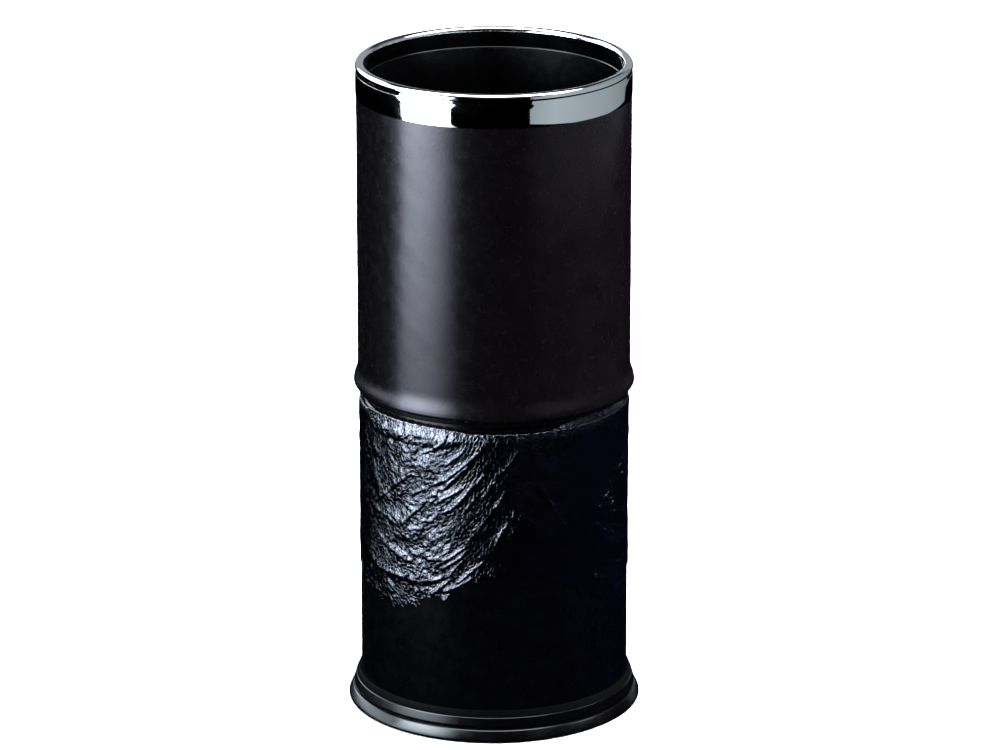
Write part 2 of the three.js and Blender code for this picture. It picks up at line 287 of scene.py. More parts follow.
def leatherette_material():
    """Embossed black leatherette: pebbles, fine creases and worn diagonal scuffs."""
    n = Nodes("leatherette", (0.002, 0.0017, 0.0024), 0.3, Specular_IOR_Level=0.2,
              Specular_Tint=(0.92, 0.83, 0.94, 1))
    mottling = n.noise(38, detail=5)
    n.drive("Base Color", n.ramp(mottling, [(0.3, (0.0007, 0.0005, 0.0007)),
                                           (0.7, (0.0011, 0.0008, 0.0012))]))
    scuff_space = n.stretched((0.1, -0.72, 0.2), (0.9, 0.9, 0.09))
    scuffs = n.ramp(n.noise(30, detail=4, vector=scuff_space, distortion=0.3),
                    [(0.58, 0.0), (0.72, 1.0)])
    wear = n.math("MULTIPLY", scuffs, n.ramp(n.noise(8, detail=1), [(0.5, 0.0), (0.68, 1.0)]))
    base = n.map_range(n.noise(120, detail=3), 0.3, 0.7, 0.22, 0.29)
    n.drive("Roughness", n.math("SUBTRACT", base, n.math("MULTIPLY", wear, 0.04)))
    pebbles = n.cells(1150, feature="SMOOTH_F1", vector=n.stretched((0, 0, 0), (1, 1, 1.25)))
    crease_space = n.stretched((0.2, 0.6, 0), (1, 1, 1.8))
    creases = n.ramp(n.cells(210, feature="DISTANCE_TO_EDGE", vector=crease_space),
                     [(0.0, 0.0), (0.09, 1.0)])
    n.bump(pebbles, 0.00004, 0.7)
    n.bump(creases, 0.00003, 0.5)
    n.bump(wear, 0.00004, 0.7)
    n.bump(n.noise(55, detail=2), 0.0002, 0.5)
    return n.mat


def film_material():
    """Thin black polyethylene: glossy, with sharp creases finer than the mesh."""
    n = Nodes("bag_film", (0.001, 0.0012, 0.0025), 0.15, Specular_IOR_Level=0.75,
              Specular_Tint=(0.84, 0.85, 1, 1))
    dull = n.noise(70, detail=4)
    n.drive("Roughness", n.map_range(dull, 0.3, 0.75, 0.08, 0.2))
    n.drive("Base Color", n.ramp(n.noise(30, detail=3), [(0.3, (0.0001, 0.0001, 0.0004)),
                                                        (0.75, (0.0002, 0.0002, 0.001))]))
    creases = n.cells(330, feature="DISTANCE_TO_EDGE", vector=n.stretched((0, 0, 0), (1, 1, 1.25)))
    n.bump(n.ramp(creases, [(0.0, 1.0), (0.12, 0.0)]), 0.00022, 0.7)
    n.bump(n.noise(420, detail=3), 0.0002, 0.5)
    return n.mat


def painted_steel_material():
    """Black paint with a slight orange peel."""
    n = Nodes("black_steel", (0.001, 0.0012, 0.0022), 0.33, Specular_IOR_Level=0.06)
    n.drive("Base Color", n.ramp(n.noise(25, detail=4), [(0.3, (0.0001, 0.0001, 0.0004)),
                                                        (0.7, (0.0002, 0.0003, 0.0007))]))
    n.drive("Roughness", n.map_range(n.noise(90, detail=4), 0.3, 0.7, 0.24, 0.34))
    n.bump(n.noise(900, detail=2), 0.00003, 0.8)
    n.bump(n.noise(35, detail=1), 0.00012, 0.6)
    return n.mat


def moulded_plastic_material():
    """Polished black moulding."""
    n = Nodes("black_plastic", (0.0003, 0.0003, 0.0004), 0.24, Specular_IOR_Level=0.33)
    n.drive("Base Color", n.ramp(n.noise(40, detail=4), [(0.3, (0.0002, 0.0002, 0.0003)),
                                                        (0.7, (0.0004, 0.0004, 0.0006))]))
    n.drive("Roughness", n.map_range(n.noise(150, detail=4), 0.3, 0.7, 0.17, 0.25))
    n.bump(n.cells(1600, feature="SMOOTH_F1"), 0.00003, 0.7)
    return n.mat


def dull_plastic_material():
    """The base's grained shoulder, which hardly reflects."""
    n = Nodes("dull_plastic", (0.0008, 0.0009, 0.0011), 0.5, Specular_IOR_Level=0.01)
    n.drive("Roughness", n.map_range(n.noise(180, detail=4), 0.3, 0.7, 0.42, 0.58))
    n.bump(n.cells(1300, feature="SMOOTH_F1"), 0.00006, 0.8)
    return n.mat


def zinc_material():
    """Bare zinc-plated steel with spangle."""
    n = Nodes("bare_steel", (0.55, 0.56, 0.58), 0.32, Metallic=1.0)
    spangle = n.cells(140)
    n.drive("Base Color", n.ramp(spangle, [(0.1, (0.46, 0.47, 0.5)), (0.8, (0.62, 0.63, 0.65))]))
    n.drive("Roughness", n.map_range(n.noise(300, detail=4), 0.3, 0.7, 0.24, 0.42))
    n.bump(n.noise(700, detail=2), 0.00003, 0.6)
    return n.mat


def rubber_material():
    """Matt rubber of the foot pads."""
    n = Nodes("rubber", (0.02, 0.02, 0.02), 0.8, Specular_IOR_Level=0.35)
    n.drive("Roughness", n.map_range(n.noise(200, detail=4), 0.3, 0.7, 0.7, 0.9))
    n.bump(n.noise(1500, detail=3), 0.00006, 0.8)
    return n.mat


def thread_material():
    """Twisted black sewing thread."""
    n = Nodes("thread", (0.018, 0.016, 0.02), 0.6, Specular_IOR_Level=0.35)
    twist = n.add("ShaderNodeTexWave", {"Vector": n.coords, "Scale": 420.0, "Distortion": 1.5})
    n.bump(twist.outputs["Fac"], 0.0001, 0.8)
    return n.mat


MATERIALS = {
    "chrome": chrome_material(),
    "leatherette": leatherette_material(),
    "bag_film": film_material(),
    "black_steel": painted_steel_material(),
    "black_plastic": moulded_plastic_material(),
    "dull_plastic": dull_plastic_material(),
    "bare_steel": zinc_material(),
    "rubber": rubber_material(),
    "thread": thread_material(),
}


def place(obj, material, body, replaced=(), slot=None):
    """Gives a piece its material, the body it rides on and the CAD nodes it stands for."""
    obj.data.materials.clear()
    obj.data.materials.append(MATERIALS[material])
    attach(obj, body)
    if replaced:
        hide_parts(*replaced)
    return obj


# ---- upper section --------------------------------------------------------------------------

def chrome_ring():
    """Pressed ring of U section: a flat band, a groove, a full roll on top and an inner skirt."""
    wall = 0.6 * MM
    roll = (RING_R - OPENING_R) / 2
    centre = (OPENING_R + roll, HEIGHT - roll)
    band_r = RING_R - 0.2 * MM  # the roll stands this much proud of the flat band
    skirt_bottom = HEIGHT - 17.8 * MM
    groove = HEIGHT - 9.0 * MM
    edge = 4.5 * MM  # the band's two edges are eased inwards over this height
    rise = np.linspace(BAND_BOTTOM + 0.2 * MM, groove - 0.3 * MM, 40)
    off = np.maximum(BAND_BOTTOM + edge - rise, 0) + np.maximum(rise - groove + 0.3 * MM + edge, 0)
    outline = [(band_r - wall, BAND_BOTTOM + 0.1 * MM), (band_r - 0.45 * MM, BAND_BOTTOM)]
    outline += [(band_r - 0.3 * MM * (o / edge) ** 2, z) for o, z in zip(off, rise)]
    outline += [(band_r - 0.75 * MM, groove - 0.25 * MM)]
    outline += arc(centre, roll, -42, 180, 44)
    outline += [(OPENING_R, skirt_bottom + 0.15 * MM), (OPENING_R + 0.15 * MM, skirt_bottom),
                (OPENING_R + wall, skirt_bottom + 0.1 * MM)]
    outline += arc(centre, roll - wall, 180, 0, 16)
    ring = turned("chrome_ring_fine", outline, segments=320, sharp_degrees=30)
    place(ring, "chrome", "upper_section", ["chrome_ring"])


def upper_liner():
    """The sleeve's inner wall. Its top is stepped out to stand behind the ring's skirt."""
    wall = 1.4 * MM
    step = HEIGHT - 18.1 * MM
    behind = OPENING_R + 0.9 * MM
    top = HEIGHT - 10 * MM
    lip = 0.7 * MM
    outline = [(LINER_R + 0.2 * MM, LINER_BOTTOM), (LINER_R + wall, LINER_BOTTOM),
               (LINER_R + wall, step - 2 * wall), (behind + wall, step - wall),
               (behind + wall, top), (behind, top), (behind, step)]
    outline += arc((LINER_R + lip, step - lip), lip, 90, 180, 5)
    liner = turned("upper_liner_fine", outline, segments=256)
    place(liner, "black_plastic", "upper_section", ["upper_liner"])


SEAM_AT = math.pi / 2  # the cover's seam is at the back
SEAM_LAP = 9 * MM


def wrap_outline():
    """The outside of the cover from the tuck under the bead, round the bead, up to the ring."""
    corner = 3.0 * MM
    flare = BEAD_R - WRAP_R
    low = BEAD_BOTTOM
    points = [(FOOT_R + 0.05 * MM, low + 0.25 * MM), (BEAD_R - corner - 0.9 * MM, low)]
    points += arc((BEAD_R - corner, low + corner + 0.1 * MM), corner, -75, 0, 8)
    swell = [(BEAD_R, low + 3.6 * MM), (BEAD_R - 0.1 * flare, low + 6.0 * MM),
             (BEAD_R - 0.3 * flare, low + 8.6 * MM), (BEAD_R - 0.54 * flare, low + 11.3 * MM),
             (BEAD_R - 0.77 * flare, low + 14.2 * MM), (BEAD_R - 0.94 * flare, low + 17.4 * MM),
             (WRAP_R, low + 20.6 * MM)]
    points += curve(swell, 4)
    rise = np.linspace(low + 22 * MM, BAND_BOTTOM + 6 * MM, 110)
    points += [(WRAP_R, z) for z in rise]
    return points


def cover_lumps(rng, around, height):
    """Slow unevenness of the glued cover between the bead and the ring."""
    body = np.clip((height - SLEEVE_BOTTOM - 24 * MM) / (30 * MM), 0, 1)
    body *= np.clip((BAND_BOTTOM - 4 * MM - height) / (20 * MM), 0, 1)
    total = np.zeros_like(height)
    for waves, amount in ((3, 0.10), (7, 0.08), (13, 0.05), (24, 0.03)):
        phase, tilt = rng.uniform(0, 2 * math.pi), rng.uniform(-1, 1) * waves * 2.2
        total += amount * MM * np.sin(waves * around + tilt * height / RING_R + phase)
    return total * body * 0.7 - 0.12 * MM * body


def seam_lap(around, height):
    """The free end of the cover laps over the start: a low step that runs down the back."""
    from_seam = np.abs(wrapped(around - SEAM_AT)) * WRAP_R
    lap = 0.45 * MM * np.clip((SEAM_LAP - (around - SEAM_AT) * WRAP_R) / (0.5 * MM), 0, 1)
    lap = lap * np.clip((BAND_BOTTOM - 1 * MM - height) / (1 * MM), 0, 1)
    return np.where(from_seam < 2 * SEAM_LAP, lap, 0)


def leather_wrap():
    """The cover as one closed skin: its outside, and its inside a leather's thickness within."""
    rng = np.random.default_rng(7)
    columns = 360
    thickness = 0.85 * MM
    outside = np.array(wrap_outline())
    rows = len(outside)
    around = np.linspace(0, 2 * math.pi, columns, endpoint=False) + SEAM_AT
    height = np.repeat(outside[:, 1:], columns, axis=1)
    radius = outside[:, :1] + cover_lumps(rng, around, height) + seam_lap(around, height)
    points = np.stack([radius * np.cos(around), radius * np.sin(around), height], axis=-1)
    under = outside[:, 1:] < BEAD_BOTTOM + 0.6 * MM
    inner_r = outside[:, :1] - thickness * np.where(under, 0, 1)
    inner_z = outside[:, 1:] + thickness * np.where(under, 0.8, 0)
    inner = np.stack([inner_r * np.cos(around), inner_r * np.sin(around),
                      np.repeat(inner_z, columns, axis=1)], axis=-1)[::-1]
    ring = np.concatenate([points, inner])
    faces = grid_faces(2 * rows + 1, columns, wrap=True)
    faces = np.where(faces >= 2 * rows * columns, faces - 2 * rows * columns, faces)
    wrap = link("leather_wrap_fine", mesh_from("leather_wrap_fine", ring, faces, 60))
    place(wrap, "leatherette", "upper_section", ["leather_wrap"])


def stitch(bottom, length):
    """The rings of points of one raised stitch, thick in the middle and tucked in at its ends."""
    thread = 0.32 * MM
    stations, sides = 7, 8
    angle = SEAM_AT + (SEAM_LAP - 2.2 * MM) / WRAP_R
    outward = np.array([math.cos(angle), math.sin(angle), 0])
    sideways = np.array([-math.sin(angle), math.cos(angle), 0])
    turn = 2 * math.pi * np.arange(sides)[:, None] / sides
    rings = []
    for share in np.arange(stations) / (stations - 1):
        bulge = max(math.sin(math.pi * share), 0)
        size = thread * (0.25 + 0.75 * bulge ** 0.5)
        middle = outward * (WRAP_R + 0.32 * MM + 0.28 * MM * bulge)
        middle = middle + np.array([0, 0, bottom + length * share])
        rings.append(middle + outward * size * np.cos(turn) + sideways * size * np.sin(turn))
    return np.array(rings)


def seam_stitches():
    """One row of lock stitches down the lap at the back."""
    length, gap = 3.4 * MM, 1.3 * MM
    bottoms = np.arange(SLEEVE_BOTTOM + 26 * MM, BAND_BOTTOM - 2 * MM - length, length + gap)
    stitches = np.array([stitch(bottom, length) for bottom in bottoms])
    count, stations, sides, _ = stitches.shape
    side = np.arange(sides)
    body = grid_faces(stations, sides, wrap=True)
    faces = []
    for start in np.arange(count) * stations * sides:
        faces += (start + body).tolist()
        faces += [(start + side[::-1]).tolist(), (start + (stations - 1) * sides + side).tolist()]
    mesh = bpy.data.meshes.new("seam_stitches")
    mesh.from_pydata(stitches.reshape(-1, 3).tolist(), [], faces)
    mesh.polygons.foreach_set("use_smooth", np.ones(len(mesh.polygons), bool))
    place(link("seam_stitches", mesh), "thread", "upper_section", slot="leatherette")


def sleeve_tube():
    """The rolled tube under the cover: a hem turned in, a short foot, the bead, the wall."""
    wall = 0.9 * MM
    cover = 1.15 * MM  # the leather and its glue
    hem_in = FOOT_R - 5.5 * MM
    round_r = 0.6 * MM
    bead = [(r - cover, z) for r, z in wrap_outline() if z > BEAD_BOTTOM + 2 * MM]
    foot = [(FOOT_R, BEAD_BOTTOM + 0.6 * MM)] + bead + [(WRAP_R - cover, top_of("sleeve_tube"))]
    outline = [(hem_in, HEM_BOTTOM), (FOOT_R - round_r, HEM_BOTTOM)]
    outline += arc((FOOT_R - round_r, HEM_BOTTOM + round_r), round_r, -75, 0, 5)
    outline += foot + [(r - wall, z) for r, z in reversed(foot)]
    outline += [(FOOT_R - wall, HEM_BOTTOM + wall), (hem_in, HEM_BOTTOM + wall)]
    tube = turned("sleeve_tube_fine", outline, segments=256)
    place(tube, "black_steel", "upper_section", ["sleeve_tube"])


def collar_rivets():
    """Small domed rivets that hold the collar's flange to the tube's hem."""
    head = 1.6 * MM
    shank = 0.9 * MM
    inwards = 0.9 * MM  # moved from the CAD rivet's place, to clear the fine tube's foot
    low = SLEEVE_BOTTOM + 0.2 * MM
    outline = [(0, low), (0.7 * head, low + 0.12 * MM), (head, low + 0.4 * MM), (head, HEM_BOTTOM),
               (shank, HEM_BOTTOM), (shank, FLANGE_TOP), (head, FLANGE_TOP),
               (head, FLANGE_TOP + 0.4 * MM), (0.7 * head, FLANGE_TOP + 0.7 * MM),
               (0, FLANGE_TOP + 0.8 * MM)]
    for number in range(1, 5):
        node = f"collar_rivet_{number}"
        low_corner, high_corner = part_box(node)
        middle = (low_corner + high_corner) / 2
        closer = 1 - inwards / math.hypot(middle.x, middle.y)
        spot = (middle.x * closer, middle.y * closer)
        rivet = turned_disc(f"{node}_fine", outline, spot, segments=32)
        place(rivet, "bare_steel", "upper_section", [node])


def neck_collar():
    """A tapered spigot, a shoulder that rests on the bag, a waist, a flange and the liner's lip."""
    wall = 2.0 * MM
    taper = 3.2 * MM
    edge = 0.4 * MM
    shoulder = BAG_TOP + 0.3 * MM
    shoulder_r = CURL_C[0] - 0.9 * MM
    spigot = CURL_C[0] - CURL_R - 1.3 * MM
    flange_r = FOOT_R - 1.1 * MM
    lip_in, lip_out = LINER_R + 1.7 * MM, LINER_R + 2.8 * MM
    lip_top = FLANGE_TOP + 9 * MM
    round_r = 0.5 * MM
    outline = [(spigot - wall - taper, COLLAR_BOTTOM + edge),
               (spigot - wall - taper + edge, COLLAR_BOTTOM),
               (spigot - taper - edge, COLLAR_BOTTOM), (spigot - taper, COLLAR_BOTTOM + edge),
               (spigot, shoulder), (shoulder_r - round_r, shoulder)]
    outline += arc((shoulder_r - round_r, shoulder + round_r), round_r, -90, 60, 6)
    outline += [(NECK_R, shoulder + wall), (NECK_R, FLANGE_TOP - wall), (flange_r, FLANGE_TOP - wall),
                (flange_r, FLANGE_TOP), (lip_out, FLANGE_TOP), (lip_out, lip_top), (lip_in, lip_top),
                (lip_in, FLANGE_TOP), (LINER_R, FLANGE_TOP), (LINER_R, shoulder + wall),
                (spigot - wall, shoulder)]
    collar = turned("neck_collar_fine", outline, segments=256)
    place(collar, "black_plastic", "upper_section", ["neck_collar"])


# ---- lower section --------------------------------------------------------------------------

def bucket_shell():
    """The bucket's wall with its edge rolled inwards."""
    wall = 1.0 * MM
    outline = [(SHELL_R - wall, SHELL_BOTTOM), (SHELL_R, SHELL_BOTTOM)]
    outline += arc(CURL_C, CURL_R, 0, 250, 20)
    outline += arc(CURL_C, CURL_R - wall, 250, 0, 14)
    shell = turned("bucket_shell_fine", outline, segments=256)
    place(shell, "black_steel", "lower_section", ["bucket_shell"])


def base_ring():
    """Moulded skirt: a polished lower part and, as a piece of its own, the dull shoulder."""
    socket = SHELL_R + 0.3 * MM  # the bucket's wall stands in here
    ledge_in = 112 * MM
    r, z = BASE_R, BASE_BOTTOM
    edge_r, edge_z = r - 7.5 * MM, z + 21.4 * MM  # where polished turns to dull
    split_z = z + 21.6 * MM
    # Underneath, from the ledge that carries the bucket, round a groove, to the roll's foot.
    rib_in, rib_out, groove_out = 118.3 * MM, 124 * MM, 129 * MM
    outline = [(ledge_in, z + 3.7 * MM), (rib_in, z + 3.7 * MM), (rib_in, z), (rib_out, z),
               (rib_out, z + 11 * MM), (rib_out + 2.5 * MM, z + 10.6 * MM),
               (groove_out, z + 5.5 * MM), (groove_out, z)]
    # Outside, the sloping roll, then a step in, a lip and an eased edge.
    roll = [(r - 2.2 * MM, z), (r - 0.7 * MM, z + 0.35 * MM), (r, z + 1.7 * MM),
            (r - 0.3 * MM, z + 3.0 * MM), (r - 0.85 * MM, z + 4.4 * MM),
            (r - 2.1 * MM, z + 7.0 * MM), (r - 3.6 * MM, z + 9.8 * MM)]
    outline += curve(roll, 5)
    outline += [(r - 5.1 * MM, z + 10.5 * MM), (r - 5.4 * MM, z + 12.2 * MM)]
    outline += arc((r - 5.9 * MM, z + 14.0 * MM), 1.1 * MM, -60, 18, 7)
    outline += arc((r - 7.9 * MM, z + 20.2 * MM), 1.3 * MM, 14, 36, 5)
    outline += [(edge_r, edge_z), (socket, split_z), (socket, z + 6.7 * MM),
                (ledge_in, z + 6.7 * MM)]
    ring = turned("base_ring_fine", outline, segments=320, sharp_degrees=40)
    place(ring, "black_plastic", "lower_section", ["base_ring"])

    slope = [(edge_r, edge_z), (r - 7.9 * MM, z + 23.4 * MM), (r - 8.9 * MM, z + 26 * MM),
             (r - 9.9 * MM, z + 27.6 * MM), (r - 10.6 * MM, BASE_TOP - 0.2 * MM)]
    slope = curve(slope, 4)[:-1]
    slope += [(r - 10.7 * MM, BASE_TOP), (socket, BASE_TOP - 0.15 * MM), (socket, split_z)]
    shoulder = turned("base_shoulder_fine", slope, segments=320, sharp_degrees=40)
    place(shoulder, "dull_plastic", "lower_section", ["base_ring"], slot="black_plastic")


def base_screws():
    """Pan-head screws with a round recess, seen from below."""
    head, shank = 4 * MM, 1.7 * MM
    for number in range(1, 5):
        node = f"base_screw_{number}"
        low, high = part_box(node)
        middle = (low + high) / 2
        profile = [(0, 0.9 * MM), (0.5 * MM, 0.85 * MM), (1.2 * MM, 0.1 * MM), (1.8 * MM, 0),
                   (head - 0.7 * MM, 0.1 * MM), (head - 0.2 * MM, 0.5 * MM), (head, 1.0 * MM),
                   (head, 1.4 * MM), (shank, 1.4 * MM)]
        outline = [(r, low.z + rise) for r, rise in profile]
        outline += [(shank, high.z - 1 * MM), (0, high.z)]
        screw = turned_disc(f"{node}_fine", outline, (middle.x, middle.y), segments=32)
        place(screw, "bare_steel", "lower_section", [node])


# ---- liner bag ------------------------------------------------------------------------------

def noise_cells(azimuth, height, size):
    """Azimuth and height counted in cells of a size, and the cells in a full turn."""
    period = max(3, round(2 * math.pi * SHELL_R / size))
    return azimuth % (2 * math.pi) / (2 * math.pi) * period, height / size + 200, period


def lumps(rng, azimuth, height, size):
    """Smooth noise from -1 to 1, with lumps of about the given size."""
    across, along, period = noise_cells(azimuth, height, size)
    table = rng.uniform(-1, 1, (period, 512))
    u, v = np.floor(across).astype(int), np.floor(along).astype(int)
    fu, fv = across - u, along - v
    fu, fv = fu * fu * (3 - 2 * fu), fv * fv * (3 - 2 * fv)
    low = table[u % period, v % 512] * (1 - fu) + table[(u + 1) % period, v % 512] * fu
    high = table[u % period, (v + 1) % 512] * (1 - fu) + table[(u + 1) % period, (v + 1) % 512] * fu
    return low * (1 - fv) + high * fv


def facets(rng, azimuth, height, size, slant):
    """Flat triangles of about the given size that meet in sharp creases, from -1 to 1.

    The slant, in metres, shears the triangles so that they lie along the folds.
    """
    across, along, period = noise_cells(azimuth, height - slant, size)
    across = across + 0.6 * lumps(rng, azimuth, height, 2.3 * size)
    along = along / 0.87 + 0.6 * lumps(rng, azimuth, height, 2.3 * size)
    across = across - 0.5 * along
    table = rng.uniform(-1, 1, (period, 512))
    u, v = np.floor(across).astype(int), np.floor(along).astype(int)
    fu, fv = across - u, along - v

    def corner(i, j):
        return table[(u + i) % period, (v + j) % 512]

    low = corner(0, 0) * (1 - fu - fv) + corner(1, 0) * fu + corner(0, 1) * fv
    high = corner(1, 1) * (fu + fv - 1) + corner(0, 1) * (1 - fu) + corner(1, 0) * (1 - fv)
    return np.where(fu + fv < 1, low, high)


SWAGS = np.radians([-128, -43, 72, 158])  # where the film hangs lowest, from the front


def from_swag(front):
    """The angle from the nearest low point, without its sign."""
    return np.abs(wrapped(front[..., None] - SWAGS)).min(axis=-1)


def climb(front):
    """How far the fine folds have climbed, in metres, away from the nearest low point."""
    return 6.0 * (SHELL_R * np.minimum(from_swag(front), 0.95)) ** 2


def tuck(front, height, middle, drop, tilt, bend, reach, width):
    """One raised tuck: sharp crest, steep below and easy above, thin towards its ends."""
    away = wrapped(front - middle)
    run = away * SHELL_R
    above = (height - (RIM_TOP - drop + tilt * run + bend * run ** 2)) / math.sqrt(1 + tilt ** 2)
    ends = np.clip(1.5 * (1 - (away / reach) ** 2), 0, 1)
    easy, steep = np.maximum(above, 0), np.maximum(-above, 0)
    return ends * np.exp(-easy / (2.4 * width) - steep / (0.6 * width))


TUCKS = [
    # degrees from the low point, drop below the rim in mm, tilt, bend per metre,
    # reach in degrees, width in mm, share of the full height
    (0, 142, 0.0, 3.4, 29, 2.3, 1.0),
    (-11, 89, -0.12, 1.0, 12, 1.6, 0.8),
    (6, 80, 0.9, 0.0, 8, 1.5, 0.8),
    (-6, 61, 0.77, 0.0, 13, 1.8, 0.9),
    (-3, 121, -0.32, 4.0, 13, 1.6, 0.8),
    (16, 118, 0.1, 5.0, 13, 1.5, 0.7),
    (32, 144, 0.66, 0.0, 14, 1.8, 1.0),
    (29, 139, 0.60, 0.0, 9, 1.0, 0.7),
    (31, 25, 0.93, 3.0, 11, 2.0, 1.0),
    (27, 38, 1.1, 0.0, 8, 1.5, 0.9),
    (19, 46, 0.55, 3.0, 12, 1.7, 0.9),
    (33, 50, 1.15, 0.0, 8, 1.2, 0.8),
    (49, 79, 1.6, 0.0, 6, 1.2, 0.9),
]


def long_folds(rng, front, height):
    """The tucks of every swag, heavy ones and fine streaks, from 0 to about 1."""
    height = height + 1.6 * MM * lumps(rng, front, height, 24 * MM)
    height = height + 0.5 * MM * lumps(rng, front, height, 7 * MM)
    total = np.zeros_like(front)
    for index, low_point in enumerate(SWAGS):
        loose = 0 if index == 1 else 1  # the other swags repeat the front one with changes
        for angle, drop, tilt, bend, reach, width, share in TUCKS:
            middle = low_point + math.radians(angle + loose * rng.normal(0, 5))
            level = (drop + loose * rng.normal(0, 8)) * MM
            ridge = tuck(front, height, middle, level, tilt, bend, math.radians(reach), width * MM)
            total = np.maximum(total, share * ridge)
        for _ in range(46):
            side = rng.choice([-1, 1, 1])
            angle = rng.uniform(0.25, 1.0)
            tilt = side * (0.1 + 1.75 * angle) * rng.uniform(0.75, 1.25)
            reach = rng.uniform(0.08, 0.2) / math.sqrt(1 + tilt ** 2)
            ridge = tuck(front, height, low_point + side * angle, rng.uniform(0.015, 0.185), tilt,
                         rng.uniform(-2, 4), reach, rng.uniform(0.6, 1.2) * MM)
            total = np.maximum(total, rng.uniform(0.3, 0.8) * ridge)
    return total


ROLLS = [(-0.715, 0.50), (1.85, 0.40), (-2.5, 0.35)]  # middle and reach, radians from the front


def roll_length(front):
    """1 along the stretches where the rim's film is turned over into a roll, 0 elsewhere."""
    shares = [np.clip(1 - (wrapped(front - middle) / reach) ** 4, 0, 1) for middle, reach in ROLLS]
    return np.max(shares, axis=0) ** 0.5


def frill_height(front):
    """1 where the film is drawn up inside the rim, beside the front and at the back."""
    back = 0.6 * np.exp(-((np.abs(front) - 2.5) / 0.5) ** 2)
    return np.exp(-((front - 0.9) / 0.42) ** 4) + back


def rim_roll(front, height):
    """The puffy roll's section, from 0 to 1."""
    share = roll_length(front)
    top, bottom = RIM_TOP + 2.5 * MM, RIM_TOP - 13 * MM * share
    middle, half = (top + bottom) / 2, (top - bottom) / 2
    return share * np.clip(1 - ((height - middle) / half) ** 2, 0, 1) ** 0.6


def finer(points):
    """The net with twice the columns and twice the rows."""
    wide = np.repeat(points, 2, axis=1)
    wide[:, 1::2] = 0.5 * (points + np.roll(points, -1, axis=1))
    tall = np.repeat(wide, 2, axis=0)[:-1]
    tall[1::2] = 0.5 * (wide[:-1] + wide[1:])
    return tall


def cuff_length(front):
    """From the rim to the ragged lower edge, which climbs away from each low point."""
    rise = 0.26 * (1 - np.cos(2.9 * np.minimum(from_swag(front + math.radians(8)), 1.08))) / 2
    ragged = 0.012 * np.sin(17 * front + 1) + 0.013 * np.sin(29 * front)
    ragged = ragged + 0.012 * np.sin(53 * front + 2)
    return CUFF_DROP * (0.965 - rise + ragged)


def rim_rows(front, scallops):
    """Radius and height of the film's rows from inside the rim, over it, to just outside."""
    lift = (0.9 + 0.7 * scallops + 2.8 * roll_length(front)) * MM
    out = 0.3 * scallops * MM
    frill = frill_height(front)
    inside = np.full_like(front, CURL_C[0] - CURL_R - 0.55 * MM)
    # Radius and height in mm from the curl's middle and the rim's top, share of the lift, and
    # how much the frill widens and raises them.
    edge = [(-0.5, 0.9, 0, 0, 0), (-0.5, 1.1, 0.3, -0.1, 2.6), (-0.4, 1.3, 0.5, -1.1, 8),
            (-0.2, 1.5, 0.6, -0.9, 7), (0.1, 1.7, 0.75, -0.5, 4.6), (0.6, 2.0, 0.9, -0.1, 2)]
    edge += [(r, z, 1, 0, 0) for r, z in arc((1.5, 1.2), 1.2, 130, 0, 6)]
    rows = [[inside, np.full_like(front, z)] for z in (CURL_C[1] - 4 * MM, CURL_C[1])]
    for r, z, share, widen, raised in edge:
        rows.append([CURL_C[0] + (r + widen * frill) * MM + share * out,
                     RIM_TOP + (z + raised * frill) * MM + share * lift])
    rows.append([SHELL_R + 0.5 * MM + out, np.full_like(front, CURL_C[1] - 0.5 * MM)])
    return np.array(rows)


def smooth_cuff(rows, columns):
    """The film before it crumples: up inside the rim, over it, and down the outside."""
    azimuth = np.linspace(0, 2 * math.pi, columns, endpoint=False)
    front = wrapped(azimuth - FRONT)
    scallops = 0.5 + 0.5 * np.sin(azimuth * 83 + 3 * np.sin(2 * azimuth + 1))
    rim = rim_rows(front, scallops)
    down = np.linspace(0, 1, rows - len(rim) + 1)[1:, None]
    outer_r = SHELL_R + 0.5 * MM + 0.3 * scallops * MM * np.exp(-down * 12)
    outer_z = CURL_C[1] - 0.5 * MM - down * (cuff_length(front) - 3 * MM)
    radius = np.vstack([rim[:, 0], outer_r])
    height = np.vstack([rim[:, 1], outer_z])
    return np.stack([radius * np.cos(azimuth), radius * np.sin(azimuth), height], axis=-1)


def clear_of_bucket(points):
    """Pushes film out of the shell and its rolled rim."""
    radius, height = np.hypot(points[..., 0], points[..., 1]), points[..., 2]
    beside = (height < CURL_C[1]) & (radius > CURL_C[0])
    new_r = np.where(beside, np.maximum(radius, SHELL_R + 0.35 * MM), radius)
    dr, dz = radius - CURL_C[0], height - CURL_C[1]
    away = np.maximum(np.hypot(dr, dz), 1e-9)
    clear = CURL_R + 0.35 * MM
    inside = (away < clear) & (height >= CURL_C[1])
    new_r = np.where(inside, CURL_C[0] + dr / away * clear, new_r)
    new_z = np.where(inside, CURL_C[1] + dz / away * clear, height)
    scale = new_r / radius
    return np.stack([points[..., 0] * scale, points[..., 1] * scale, new_z], axis=-1)


def rim_rays(rng, front, height):
    """Beads along the rim's fold and, above it, thin slanting creases that fan out inwards."""
    above = height - RIM_TOP
    near = np.exp(-((above - 2.4 * MM) / (1.6 * MM)) ** 2)
    beads = 0.4 * np.sin(126 * front + 4 * np.sin(5 * front)) * near
    leaning = front + 7 * above * (1 + 0.8 * np.sin(9 * front))
    creases = np.clip(lumps(rng, leaning, 0 * height, 3.6 * MM), 0, 1) ** 1.5
    in_frill = frill_height(front) * np.clip((above - 3 * MM) / (1.5 * MM), 0, 1)
    return beads + 1.9 * creases * in_frill


